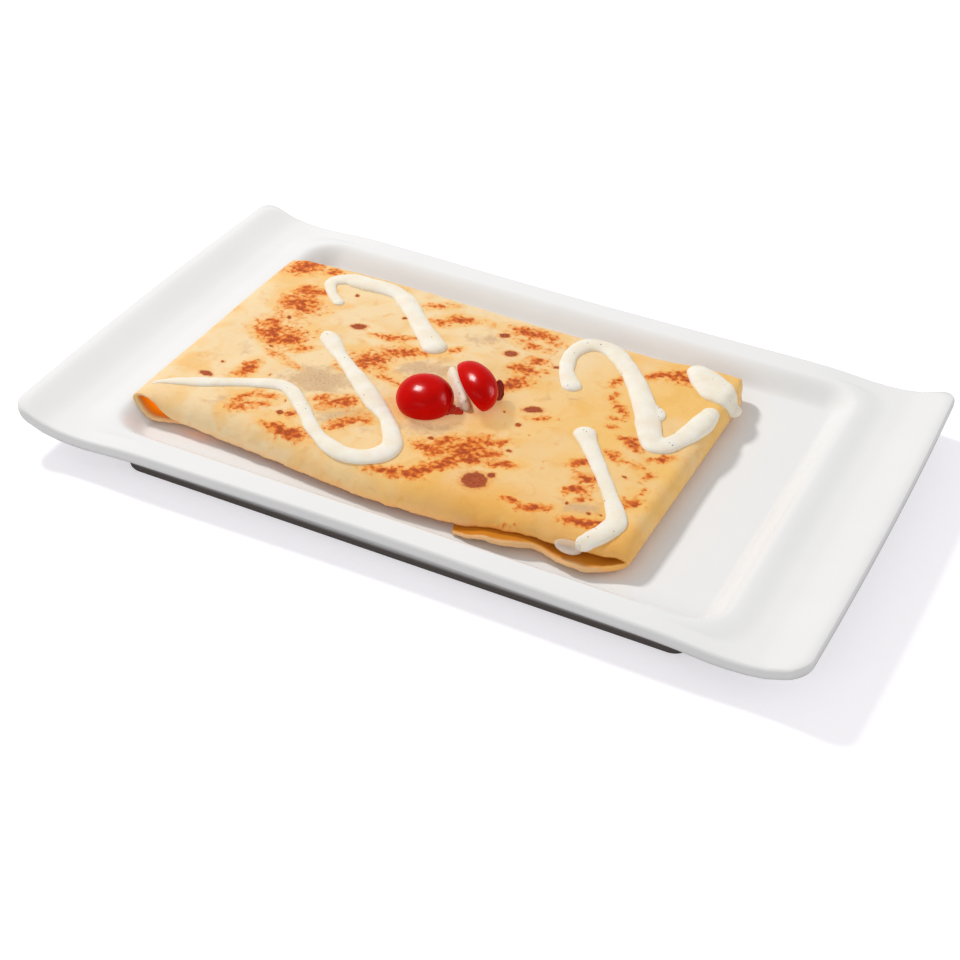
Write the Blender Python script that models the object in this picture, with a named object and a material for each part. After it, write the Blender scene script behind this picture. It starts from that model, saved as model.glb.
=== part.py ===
"""A folded crepe with a drizzle of white sauce and a cherry tomato cut in two, on an oblong porcelain platter.

The platter stands on z = 0 with its middle over the origin. X runs along its length, Y across it
to the back. The crepe is an oblong packet: folded shut along the back and both ends, with its
front edges open at the left corner and along the right half, where a lower layer sticks out.
"""
import math

import bmesh
import bpy
from mathutils import Matrix, Vector

MM = 0.001

# Platter
PLATE_LENGTH = 309.5 * MM
PLATE_WIDTH = 180 * MM
PLATE_CORNER = 7 * MM       # radius of its outline's corners
PLATE_WAIST = 1.6 * MM      # how much further in each long side is in the middle than beside the wings
RIM_HEIGHT = 15 * MM
TIP_LIFT = 5 * MM           # rise of the two end wings above the rim
WING_DIP = 1.5 * MM         # shallow valley between the well and the wing's upward curl
WING_CURL = 21 * MM         # length of that curl
END_CROWN = 1.5 * MM        # how much further the ends reach in the middle than at the corners
RIM_THICKNESS = 5.2 * MM
WELL_LENGTH = 242 * MM
WELL_WIDTH = 160 * MM
WELL_CORNER = 15 * MM
WELL_WALL = 11 * MM         # width of the well's sloping wall, seen from above
WELL_FLOOR = 7.5 * MM
FOOT_LENGTH = 221 * MM
FOOT_WIDTH = 163 * MM
FOOT_CORNER = 6 * MM
FOOT_RIM = 3.5 * MM         # width of the foot ring
FOOT_RECESS = 2.2 * MM

# Crepe
CREPE_LEFT = -119.5 * MM
CREPE_RIGHT = 80.5 * MM
CREPE_BACK = 58.5 * MM
BACK_FLARE = 3.5 * MM       # how much further the back edge reaches at its right end
CREPE_FRONT = -61 * MM      # front edge of the top layer at the two ends
FRONT_BELLY = 6 * MM        # how much further it reaches in the middle
CREPE_TOP = 19.3 * MM
FOLD_RADIUS = 5 * MM        # of the closed folds at the ends
BACK_RADIUS = 6 * MM
FRONT_RADIUS = 9 * MM       # the top layer curls down over the front
LIP = 0.8 * MM              # half the thickness of the crepe at its open edge
CREPE_WALL = 1.8 * MM       # thickness of the layers round the hollow at the open front
FLAP_START = 18.5 * MM      # the lower layer shows from here to the right end
FLAP_FRONT = -66.5 * MM
REST_GAP = 0.3 * MM         # clearance between pieces that touch

# Tomato halves
HALF_LEFT_RADIUS = 10.8 * MM
HALF_LEFT_PLACE = (-19.4 * MM, -17.8 * MM)
HALF_RIGHT_PLACE = (-5.2 * MM, -6.0 * MM)
HALF_RIGHT_LIFT = 5.9 * MM      # the right half leans on its rim, cut face to the front and down
HALF_RIGHT_RADIUS = 8.2 * MM
HALF_RIGHT_REACH = 12.4 * MM    # half the length of the right half, along its cut

BEAD_HEIGHT = 0.46          # of a bead of sauce, over its half width
BEAD_STEP = 5 * MM
BEAD_SIDES = 8

# Route of each bead: x, y and half width in millimetres, as squeezed out by hand.
SAUCE_BEADS = {
    "hook": [(-84, 31, 2.7), (-90, 36, 2.4), (-94, 43, 3.2), (-89, 48, 4), (-80, 48, 4.6),
             (-68, 48, 4), (-59, 43, 3.8), (-45, 29, 3.8), (-36, 21, 5.2), (-33.5, 18.5, 3.4)],
    "loop": [(-111, -51, 1.4), (-101, -45, 3), (-84, -36, 3), (-71, -32, 3.4), (-59, -40, 3.1),
             (-46, -52, 3.1), (-32, -58, 4), (-21, -55, 4.4), (-18, -46, 4.2), (-26, -34, 3),
             (-35, -26, 4), (-48, -16, 4), (-63, -4, 3.1), (-73, 5, 4.4), (-75, 7, 3.2)],
    "knot": [(-19.5, 4.5, 1.7), (-14.2, -3.2, 2.1), (-8.8, -9.6, 2.1), (-4.4, -15.4, 1.8)],
    "ribbon": [(22, 21, 3.8), (16.5, 30, 3.3), (13.5, 42, 3.4), (17, 51, 4.2), (26, 51.5, 4.3),
               (39, 40, 4.1), (50, 25, 4.7), (58, 11, 5.2), (62, 4.5, 4.8)],
    "tail": [(62.5, 4.5, 4.2), (68, 5.5, 4.6), (72, 13, 4.6), (74, 21, 4.6), (74.5, 29, 3.8)],
    "drop": [(39, -6, 3.6), (47, -15, 3.5), (58, -29, 2.9), (66, -40, 3.3), (69.5, -48, 3.9),
             (67.5, -55.5, 3.7), (62.5, -60.5, 3.2), (57, -62.5, 3.0)],
    "corner": [(59.5, 55.5, 3.9), (64, 51, 6.2), (70, 47, 7.2), (75, 44.5, 5.2), (78, 42, 2.6)],
}
KNOT_HEIGHT = 4.6 * MM      # the knot between the tomato halves stands up like a ridge

COLOURS = {"porcelain": (0.87, 0.87, 0.86), "crepe": (0.80, 0.52, 0.24), "tomato": (0.48, 0.01, 0.008)}


def ease(value):
    """Smooth step from 0 to 1."""
    value = min(1.0, max(0.0, value))
    return value * value * (3.0 - 2.0 * value)


def bump(value, middle, spread):
    return math.exp(-((value - middle) / spread) ** 2)


def material(name, colour, roughness):
    made = bpy.data.materials.new(name)
    made.use_nodes = True
    shader = made.node_tree.nodes["Principled BSDF"]
    shader.inputs["Base Color"].default_value = (*colour, 1.0)
    shader.inputs["Roughness"].default_value = roughness
    shader.inputs["Metallic"].default_value = 0.0
    return made


def add_object(name, bm, finish, collection):
    mesh = bpy.data.meshes.new(name)
    bm.to_mesh(mesh)
    bm.free()
    mesh.shade_smooth()
    mesh.set_sharp_from_angle(angle=math.radians(40))
    mesh.materials.append(finish)
    made = bpy.data.objects.new(name, mesh)
    collection.objects.link(made)
    return made


def skin_rings(rings):
    """A closed body over rings that all have the same number of points, shut at both ends."""
    bm = bmesh.new()
    place = bm.verts.layers.int.new("place")
    verts = bmesh.ops.create_circle(bm, segments=len(rings[0]), radius=1.0)["verts"]
    for index, vert in enumerate(verts):
        vert[place] = index
        vert.co = rings[0][index]
    edges = list(bm.edges)
    bmesh.ops.contextual_create(bm, geom=edges)
    for ring in rings[1:]:
        grown = bmesh.ops.extrude_edge_only(bm, edges=edges)["geom"]
        edges = [item for item in grown if isinstance(item, bmesh.types.BMEdge)]
        for vert in grown:
            if isinstance(vert, bmesh.types.BMVert):
                vert.co = ring[vert[place]]
    bmesh.ops.contextual_create(bm, geom=edges)
    bmesh.ops.recalc_face_normals(bm, faces=bm.faces)
    return bm


def rounded_oblong(half_length, half_width, corner, rim=0.0, along=13, across=7, turn=4):
    """Points round an oblong with round corners, counterclockwise.

    With rim at 1 it has the platter's outline: long sides drawn in at the waist, ends crowned.
    """
    points = []
    middles = [
        Vector((side_x * (half_length - corner), side_y * (half_width - corner)))
        for side_x, side_y in ((1, -1), (1, 1), (-1, 1), (-1, -1))
    ]
    for index, middle in enumerate(middles):
        for step in range(turn + 1):
            angle = math.radians(90 * (index - 1 + step / turn))
            points.append(middle + corner * Vector((math.cos(angle), math.sin(angle))))
        leave = points[-1]
        arrive = middles[(index + 1) % 4] + leave - middle
        straight = along if index % 2 else across
        points += [leave.lerp(arrive, step / straight) for step in range(1, straight)]
    for point in points:
        waist = PLATE_WAIST * (1.0 - ease(abs(point.x) / (PLATE_LENGTH * 0.4)))
        crown = END_CROWN * (point.y / half_width) ** 2
        point.x *= 1.0 - rim * crown / half_length
        point.y *= 1.0 - rim * waist / half_width
    return points


def well_height(x, y):
    """Height of the platter's upper side inside the well's edge."""
    inner_x = abs(x) - (WELL_LENGTH / 2 - WELL_CORNER)
    inner_y = abs(y) - (WELL_WIDTH / 2 - WELL_CORNER)
    outside = math.hypot(max(inner_x, 0.0), max(inner_y, 0.0))
    depth = WELL_CORNER - outside - min(max(inner_x, inner_y), 0.0)
    share = min(1.0, max(0.0, depth / WELL_WALL))
    return WELL_FLOOR + (RIM_HEIGHT - WELL_FLOOR) * 0.5 * (1.0 + math.cos(math.pi * share))


def rim_height(x, outward):
    """Height of the rim's upper side, from the well's edge at 0 to the platter's edge at 1."""
    shoulder = 0.4 * MM * math.sin(math.pi * min(1.0, outward * 4.0))
    dip = WING_DIP * bump(abs(x), WELL_LENGTH / 2 + 4 * MM, 15 * MM) * ease(outward * 3.0)
    curl = TIP_LIFT * ease((abs(x) - PLATE_LENGTH / 2 + WING_CURL - 2 * MM) / WING_CURL)
    return RIM_HEIGHT + shoulder - dip + curl


def make_plate(collection):
    half_length, half_width = PLATE_LENGTH / 2, PLATE_WIDTH / 2
    rings = []
    for share in (1.0, 0.8, 0.6, 0.4, 0.2):
        inset = WELL_WALL * share
        outline = rounded_oblong(WELL_LENGTH / 2 - inset, WELL_WIDTH / 2 - inset, WELL_CORNER - inset)
        rings.append([Vector((p.x, p.y, well_height(p.x, p.y))) for p in outline])
    for outward in (0.0, 0.1, 0.22, 0.36, 0.5, 0.64, 0.77, 0.87):
        length = WELL_LENGTH / 2 + (half_length - WELL_LENGTH / 2) * outward
        width = WELL_WIDTH / 2 + (half_width - WELL_WIDTH / 2) * outward
        corner = WELL_CORNER + (PLATE_CORNER - WELL_CORNER) * outward
        outline = rounded_oblong(length, width, corner, outward)
        rings.append([Vector((p.x, p.y, rim_height(p.x, outward))) for p in outline])
    for inset, sink in ((0.5, 0.5), (0.0, 1.6), (0.0, 3.2), (0.5, 4.5), (1.7, RIM_THICKNESS / MM)):
        inset = inset * MM
        outline = rounded_oblong(half_length - inset, half_width - inset, PLATE_CORNER - inset, 1.0)
        rings.append([Vector((p.x, p.y, rim_height(p.x, 1.0) - sink * MM)) for p in outline])
    foot_x, foot_y = FOOT_LENGTH / 2, FOOT_WIDTH / 2
    under = (
        (foot_x + 26 * MM, foot_y + 4.4 * MM, 9.4 * MM),
        (foot_x + 8 * MM, foot_y + 1.6 * MM, 6.8 * MM),
        (foot_x + 0.8 * MM, foot_y + 0.4 * MM, 3.4 * MM),
        (foot_x, foot_y, 0.8 * MM),
        (foot_x - 0.8 * MM, foot_y - 0.8 * MM, 0.0),
        (foot_x - FOOT_RIM, foot_y - FOOT_RIM, 0.0),
        (foot_x - FOOT_RIM - 1.5 * MM, foot_y - FOOT_RIM - 1.5 * MM, FOOT_RECESS),
    )
    for length, width, height in under:
        outline = rounded_oblong(length, width, FOOT_CORNER)
        rings.append([Vector((p.x, p.y, height)) for p in outline])
    finish = material("porcelain", COLOURS["porcelain"], 0.12)
    return add_object("plate", skin_rings(rings), finish, collection)


def crepe_top(x, y):
    """Height of the packet's upper side, softly uneven over its filling."""
    waves = 0.35 * math.sin(x / (26 * MM) + 0.8) * math.cos(y / (21 * MM))
    waves += 0.25 * math.sin((x + 1.7 * y) / (17 * MM))
    heap = 0.9 * bump(x, -62 * MM, 30 * MM) * bump(y, -12 * MM, 26 * MM)
    sag = 0.8 * ease((abs(x + 18 * MM) - 70 * MM) / (40 * MM))
    return CREPE_TOP + (waves + heap - sag) * MM


def front_edge(x):
    """Front edge of the top layer."""
    corner = 1.5 * MM * ease((-100 * MM - x) / (18 * MM)) + 2.0 * MM * ease((x - 70 * MM) / (11 * MM))
    return CREPE_FRONT - FRONT_BELLY * bump(x, -12 * MM, 50 * MM) + corner


def back_edge(x):
    """Closed fold along the back."""
    return CREPE_BACK + BACK_FLARE * ease((x - 40 * MM) / (30 * MM))


def lower_edge(x):
    """Front edge of the bottom layer: tucked under, then a flap that sticks out at the right."""
    out = ease((x - FLAP_START + 1.5 * MM) / (3 * MM))
    tucked = front_edge(x) + 3.0 * MM * ease((x + 108 * MM) / (14 * MM))
    tucked -= 2.5 * MM * ease((-102 * MM - x) / (12 * MM))
    flap = FLAP_FRONT + 0.8 * MM * math.sin(x / (7.5 * MM)) + 7.5 * MM * ease((x - 68 * MM) / (13.5 * MM))
    return tucked + (flap - tucked) * out


def gap_shares(x):
    """Where the open front lies between the packet's lower and upper side, as shares of its height."""
    left = ease((-95 * MM - x) / (14 * MM))
    right = ease((x - FLAP_START) / (46 * MM)) * (1.0 - ease((x - 72 * MM) / (9 * MM)))
    turned_up = ease((x - 70 * MM) / (11 * MM))     # the flap rises into the fold at the right corner
    low = 0.12 + 0.06 * left + 0.32 * turned_up
    high = low + 0.06 + 0.50 * left + 0.30 * right
    depth = 2.0 * MM + 14 * MM * left + 10 * MM * right
    return low, high, depth


def top_curl(x, y):
    """Height of the upper side with its round back, ends and front, where sauce lies on it."""
    top = crepe_top(x, y)
    bottom = well_height(x, y) + REST_GAP
    fall = 1.0
    for inside, radius in (
        (x - CREPE_LEFT, FOLD_RADIUS),
        (CREPE_RIGHT - x, FOLD_RADIUS),
        (back_edge(x) - y, BACK_RADIUS),
        (y - front_edge(x), FRONT_RADIUS),
    ):
        share = min(1.0, max(0.0, inside / radius))
        fall *= math.sqrt(1.0 - (1.0 - share) ** 2)
    return 0.5 * (top + bottom) + 0.5 * (top - bottom) * fall


def crepe_places():
    """Places across the packet from the right end to the left: x and how far the layers stand apart."""
    fold = [(1.0 - math.cos(math.radians(angle)), math.sin(math.radians(angle))) for angle in (22, 45, 68)]
    places = [(CREPE_RIGHT - FOLD_RADIUS * back, apart) for back, apart in fold]
    inner_right, inner_left = CREPE_RIGHT - FOLD_RADIUS, CREPE_LEFT + FOLD_RADIUS
    columns = 34
    for index in range(columns + 1):
        places.append((inner_right + (inner_left - inner_right) * index / columns, 1.0))
    places += [(CREPE_LEFT + FOLD_RADIUS * back, apart) for back, apart in reversed(fold)]
    return places


def crepe_ring(profile, wall=0.0):
    """One ring round the packet; profile gives (y, z) of a side at x, with +1 above and -1 below.

    A wall draws the ring in from both ends, for the hollow between the layers.
    """
    middle_x = (CREPE_LEFT + CREPE_RIGHT) / 2
    scale = 1.0 - wall / (CREPE_RIGHT - middle_x)
    row = crepe_places()
    loop = [(CREPE_RIGHT, 0.0, 1)] + [(x, apart, 1) for x, apart in row]
    loop += [(CREPE_LEFT, 0.0, -1)] + [(x, apart, -1) for x, apart in reversed(row)]
    ring = []
    for place, apart, side in loop:
        x = middle_x + (place - middle_x) * scale
        here, there = Vector(profile(x, side)), Vector(profile(x, -side))
        middle = (here + there) / 2
        y, z = middle + (here - middle) * apart
        ring.append(Vector((x, y, z)))
    return ring


def back_profile(degrees):
    """Round closed fold along the back."""
    def profile(x, side):
        angle = math.radians(degrees)
        y = back_edge(x) - BACK_RADIUS * (1.0 - math.cos(angle))
        bottom, top = well_height(x, y) + REST_GAP, crepe_top(x, y)
        return y, (top + bottom) / 2 + side * (top - bottom) / 2 * math.sin(angle)
    return profile


def body_profile(share):
    """Straight across the packet, from the back fold at 0 to where the front begins to curl at 1."""
    def profile(x, side):
        start = back_edge(x) - BACK_RADIUS
        end = front_edge(x) + FRONT_RADIUS
        y = start + (end - start) * share
        return y, crepe_top(x, y) if side > 0 else well_height(x, y) + REST_GAP
    return profile


def front_profile(degrees):
    """The curl of the top layer down to its lip, over the edge of the bottom layer."""
    def profile(x, side):
        angle = math.radians(degrees)
        low, high, _ = gap_shares(x)
        edge = front_edge(x) if side > 0 else lower_edge(x)
        y = edge + FRONT_RADIUS * (1.0 - math.cos(angle))
        bottom, top = well_height(x, y) + REST_GAP, crepe_top(x, y)
        if side > 0:
            lip = bottom + (top - bottom) * high + LIP
            return y, lip + (top - lip) * math.sin(angle)
        lip = bottom + (top - bottom) * low - LIP
        return y, lip + (bottom - lip) * math.sin(angle)
    return profile


def gap_profile(share):
    """The open front between the layers, from the lips at 0 to its far end at 1."""
    def profile(x, side):
        low, high, depth = gap_shares(x)
        edge = front_edge(x) if side > 0 else lower_edge(x)
        inner = max(front_edge(x), lower_edge(x)) + depth
        y = edge + 0.5 * MM + (inner - edge - 0.5 * MM) * share
        bottom, top = well_height(x, y) + REST_GAP, crepe_top(x, y)
        middle = (low + high) / 2
        height = middle + side * (high - low) / 2 * (1.0 - 0.6 * share ** 2)
        return y, bottom + (top - bottom) * height
    return profile


def make_crepe(collection):
    rings = [crepe_ring(back_profile(degrees)) for degrees in (12, 35, 62)]
    rows = 15
    rings += [crepe_ring(body_profile(row / rows)) for row in range(rows + 1)]
    rings += [crepe_ring(front_profile(degrees)) for degrees in (65, 40, 18, 0)]
    rings += [crepe_ring(gap_profile(share), CREPE_WALL) for share in (0.0, 0.5, 1.0)]
    finish = material("crepe", COLOURS["crepe"], 0.5)
    return add_object("crepe", skin_rings(rings), finish, collection)


def smooth_route(points, spacing):
    """Catmull-Rom curve through the points, each a Vector, read off about every spacing."""
    padded = [points[0] * 2 - points[1]] + points + [points[-1] * 2 - points[-2]]
    route = []
    for a, b, c, d in zip(padded, padded[1:], padded[2:], padded[3:]):
        steps = max(1, round((c - b).length / spacing))
        for step in range(steps):
            t = step / steps
            route.append(
                0.5 * (2 * b + (c - a) * t + (2 * a - 5 * b + 4 * c - d) * t * t
                       + (3 * b - a - 3 * c + d) * t ** 3))
    return route + [points[-1]]


def make_bead(name, stops, collection, finish):
    """A flattened bead of sauce that lies along its route on top of the crepe."""
    route = smooth_route([Vector(stop) * MM for stop in stops], BEAD_STEP)
    rings = []
    for index, stop in enumerate(route):
        before, after = route[max(index - 1, 0)], route[min(index + 1, len(route) - 1)]
        along = Vector((after.x - before.x, after.y - before.y, 0.0)).normalized()
        sideways = Vector((-along.y, along.x, 0.0))
        half_width = stop.z
        height = KNOT_HEIGHT if name == "knot" else half_width * BEAD_HEIGHT
        middle = Vector((stop.x, stop.y, top_curl(stop.x, stop.y)))
        sizes = [(0.0, 1.0)]
        if index == 0:
            sizes.insert(0, (-0.8, 0.55))
        if index == len(route) - 1:
            sizes.append((0.8, 0.55))
        for ahead, size in sizes:
            ring = []
            for side in range(BEAD_SIDES):
                angle = 2 * math.pi * (side + 0.5) / BEAD_SIDES
                out = sideways * math.cos(angle) * half_width * size
                lift = Vector((0.0, 0.0, math.sin(angle) * height * size))
                ring.append(middle + along * ahead * half_width + out + lift)
            rings.append(ring)
    return add_object(name, skin_rings(rings), finish, collection)


def fuse_sauce(crepe):
    """Join every bead to the crepe with one union, and drop the loose beads."""
    beads = bpy.data.collections.new("sauce beads")
    bpy.context.scene.collection.children.link(beads)
    for name, stops in SAUCE_BEADS.items():
        make_bead(name, stops, beads, crepe.data.materials[0])
    union = crepe.modifiers.new("sauce", "BOOLEAN")
    union.operation = "UNION"
    union.operand_type = "COLLECTION"
    union.collection = beads
    union.solver = "EXACT"
    bpy.context.view_layer.update()
    seen = crepe.evaluated_get(bpy.context.evaluated_depsgraph_get())
    joined = bpy.data.meshes.new_from_object(seen)
    crepe.modifiers.remove(union)
    bm = bmesh.new()
    bm.from_mesh(joined)
    bmesh.ops.dissolve_degenerate(bm, dist=0.02 * MM, edges=bm.edges)
    bm.to_mesh(joined)
    bm.free()
    crepe.data = joined
    for bead in list(beads.objects):
        bpy.data.objects.remove(bead)
    bpy.data.collections.remove(beads)


def cut_body(bm, point, normal):
    """Cut off everything on the side that normal points to, and close the cut."""
    geometry = list(bm.verts) + list(bm.edges) + list(bm.faces)
    cut = bmesh.ops.bisect_plane(
        bm, geom=geometry, dist=1e-6, plane_co=point, plane_no=normal, clear_outer=True)
    edges = [item for item in cut["geom_cut"] if isinstance(item, bmesh.types.BMEdge)]
    bmesh.ops.contextual_create(bm, geom=edges)


def make_half(name, centre, reach, radius, heading, pole, floor, finish, collection):
    """A tomato half: an egg shape along its heading, cut across at its pole's foot, flat where it rests."""
    bm = bmesh.new()
    bmesh.ops.create_uvsphere(bm, u_segments=22, v_segments=14, radius=1.0)
    bmesh.ops.scale(bm, verts=bm.verts, vec=(radius, radius, reach))
    turn = Matrix.Rotation(heading, 4, "Z") @ Matrix.Rotation(math.radians(90), 4, "Y")
    bmesh.ops.transform(bm, verts=bm.verts, matrix=Matrix.Translation(centre) @ turn)
    cut_body(bm, centre, -pole)
    cut_body(bm, Vector((0.0, 0.0, floor)), Vector((0.0, 0.0, -1.0)))
    bmesh.ops.remove_doubles(bm, verts=bm.verts, dist=1e-5)
    bmesh.ops.recalc_face_normals(bm, faces=bm.faces)
    return add_object(name, bm, finish, collection)


def resting_height(x, y, radius):
    """Height at which a flat spot of this radius lies clear of the crepe's uneven top."""
    around = [(x + radius * math.cos(turn), y + radius * math.sin(turn))
              for turn in (math.radians(30 * step) for step in range(12))]
    return max(crepe_top(*spot) for spot in around + [(x, y)]) + REST_GAP


def make_tomatoes(collection):
    finish = material("tomato", COLOURS["tomato"], 0.15)
    x, y = HALF_LEFT_PLACE
    floor = resting_height(x, y, HALF_LEFT_RADIUS)
    make_half("tomato_left", Vector((x, y, floor)), HALF_LEFT_RADIUS, HALF_LEFT_RADIUS,
              math.radians(16), Vector((0.0, 0.0, 1.0)), floor, finish, collection)
    x, y = HALF_RIGHT_PLACE
    floor = resting_height(x, y, HALF_RIGHT_REACH)
    make_half("tomato_right", Vector((x, y, floor + HALF_RIGHT_LIFT)), HALF_RIGHT_REACH, HALF_RIGHT_RADIUS,
              math.radians(-40), Vector((0.54, 0.46, 0.71)).normalized(), floor, finish, collection)


def main():
    for old in list(bpy.data.objects):
        bpy.data.objects.remove(old)
    collection = bpy.data.collections.new("folded crepe")
    bpy.context.scene.collection.children.link(collection)
    make_plate(collection)
    fuse_sauce(make_crepe(collection))
    make_tomatoes(collection)


main()
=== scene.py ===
import math
import random

import bmesh
import bpy
import numpy as np
from mathutils import Matrix, Vector, noise
from mathutils.bvhtree import BVHTree


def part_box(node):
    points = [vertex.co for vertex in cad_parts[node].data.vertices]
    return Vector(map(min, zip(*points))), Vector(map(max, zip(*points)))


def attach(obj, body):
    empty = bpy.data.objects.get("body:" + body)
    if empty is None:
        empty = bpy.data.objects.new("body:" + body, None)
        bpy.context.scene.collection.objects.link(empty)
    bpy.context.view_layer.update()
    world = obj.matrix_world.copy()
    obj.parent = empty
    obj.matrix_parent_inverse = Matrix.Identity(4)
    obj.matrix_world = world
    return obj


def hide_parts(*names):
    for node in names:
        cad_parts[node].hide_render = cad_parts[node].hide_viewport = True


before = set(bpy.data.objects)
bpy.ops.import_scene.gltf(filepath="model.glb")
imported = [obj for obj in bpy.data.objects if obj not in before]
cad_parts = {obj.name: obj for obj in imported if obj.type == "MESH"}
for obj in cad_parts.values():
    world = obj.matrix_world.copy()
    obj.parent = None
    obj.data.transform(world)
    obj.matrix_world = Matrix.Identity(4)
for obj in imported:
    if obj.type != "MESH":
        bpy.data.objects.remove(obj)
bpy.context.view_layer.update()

mm = 0.001      # every piece is worked out in millimetres and made metres when its mesh is done
noise.seed_set(4)      # for the vector noise, which is offset at random otherwise


def ease(value):
    value = min(1.0, max(0.0, value))
    return value * value * (3.0 - 2.0 * value)


def bump(value, middle, spread):
    return math.exp(-((value - middle) / spread) ** 2)


def blend(first, second, share):
    return first * (1 - share) + second * share


# Shader helpers: sums and products of wires add Math nodes
class Wire:
    def __init__(self, finish, socket):
        self.finish = finish
        self.socket = socket

    def sum(self, operation, first, second):
        return self.finish.node("ShaderNodeMath", {"operation": operation}, {0: first, 1: second})

    def __add__(self, other):
        return self.sum("ADD", self, other)

    def __radd__(self, other):
        return self.sum("ADD", other, self)

    def __sub__(self, other):
        return self.sum("SUBTRACT", self, other)

    def __rsub__(self, other):
        return self.sum("SUBTRACT", other, self)

    def __mul__(self, other):
        return self.sum("MULTIPLY", self, other)

    def __rmul__(self, other):
        return self.sum("MULTIPLY", other, self)


class Finish:
    def __init__(self, name, roughness, fixed=None):
        self.material = bpy.data.materials.new(name)
        self.material.use_nodes = True
        self.tree = self.material.node_tree
        self.shader = self.tree.nodes["Principled BSDF"]
        self.shader.inputs["Roughness"].default_value = roughness
        for socket, value in (fixed or {}).items():
            self.shader.inputs[socket].default_value = value

    def node(self, kind, settings=None, sockets=None, output=0):
        made = self.tree.nodes.new(kind)
        for key, value in (settings or {}).items():
            setattr(made, key, value)
        for key, value in (sockets or {}).items():
            self.feed(made.inputs[key], value)
        return Wire(self, made.outputs[output])

    def feed(self, socket, value):
        if isinstance(value, Wire):
            self.tree.links.new(value.socket, socket)
        else:
            socket.default_value = value

    def set(self, socket, value):
        self.feed(self.shader.inputs[socket], value)

    def place(self):
        return self.node("ShaderNodeTexCoord", output="Object")

    def axis(self, name, where=None):
        return self.node("ShaderNodeSeparateXYZ", None, {"Vector": where or self.place()}, name)

    def noise(self, size, detail=3.0, where=None, distortion=0.0):
        # size is that of one lump in millimetres
        sockets = {"Vector": where or self.place(), "Scale": 1000.0 / size, "Detail": detail,
                   "Distortion": distortion}
        return self.node("ShaderNodeTexNoise", None, sockets, "Fac")

    def attribute(self, name):
        return self.node("ShaderNodeAttribute", {"attribute_name": name}, None, "Fac")

    def smooth(self, value, low, high):
        sockets = {"Value": value, "From Min": low, "From Max": high}
        return self.node("ShaderNodeMapRange", {"interpolation_type": "SMOOTHSTEP"}, sockets)

    def mix(self, share, first, second):
        colours = [c if isinstance(c, Wire) else (*c, 1.0) for c in (first, second)]
        sockets = {0: share, 6: colours[0], 7: colours[1]}
        return self.node("ShaderNodeMix", {"data_type": "RGBA"}, sockets, 2)

    def relief(self, height, distance):
        # distance is the relief's depth in millimetres
        sockets = {"Height": height, "Distance": distance * mm, "Strength": 1.0}
        self.set("Normal", self.node("ShaderNodeBump", None, sockets))


def softBody(weight, spread, specular):
    # shader settings of food that light enters a little
    return {"Subsurface Weight": weight, "Subsurface Radius": spread, "Subsurface Scale": 2 * mm,
            "Specular IOR Level": specular}


# Mesh helpers
def newPiece(name, bm, finishes, nodes):
    bmesh.ops.scale(bm, verts=bm.verts, vec=(mm, mm, mm))
    mesh = bpy.data.meshes.new(name)
    bm.to_mesh(mesh)
    bm.free()
    mesh.shade_smooth()
    for finish in finishes:
        mesh.materials.append(finish.material)
    piece = bpy.data.objects.new(name, mesh)
    bpy.context.scene.collection.objects.link(piece)
    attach(piece, "root")
    if nodes:
        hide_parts(*nodes)
    return piece


def skinRings(bm, rings, layerName=None, values=None):
    # a closed body over rings of equal length, each grown out of the one before it
    order = bm.verts.layers.int.get("order") or bm.verts.layers.int.new("order")
    layer = bm.verts.layers.float.new(layerName) if layerName else None
    made = bmesh.ops.create_circle(bm, segments=len(rings[0]), radius=1.0)["verts"]
    edges = list({edge for vert in made for edge in vert.link_edges})
    for index, vert in enumerate(made):
        vert[order] = index
        vert.co = rings[0][index]
        if layer:
            vert[layer] = values[0]
    faces = bmesh.ops.contextual_create(bm, geom=edges)["faces"]
    for step, ring in enumerate(rings[1:], 1):
        grown = bmesh.ops.extrude_edge_only(bm, edges=edges)["geom"]
        edges = [item for item in grown if isinstance(item, bmesh.types.BMEdge)]
        faces += [item for item in grown if isinstance(item, bmesh.types.BMFace)]
        for vert in grown:
            if isinstance(vert, bmesh.types.BMVert):
                vert.co = ring[vert[order]]
                if layer:
                    vert[layer] = values[step]
    faces += bmesh.ops.contextual_create(bm, geom=edges)["faces"]
    bmesh.ops.recalc_face_normals(bm, faces=faces)


def smoothRoute(points, spacing):
    # a curve through the points, read off about every spacing
    padded = [points[0] * 2 - points[1]] + points + [points[-1] * 2 - points[-2]]
    route = []
    for a, b, c, d in zip(padded, padded[1:], padded[2:], padded[3:]):
        steps = max(1, round((c - b).length / spacing))
        for step in range(steps):
            t = step / steps
            route.append(0.5 * (2 * b + (c - a) * t + (2 * a - 5 * b + 4 * c - d) * t * t
                                + (3 * b - a - 3 * c + d) * t ** 3))
    return route + [points[-1]]


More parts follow.
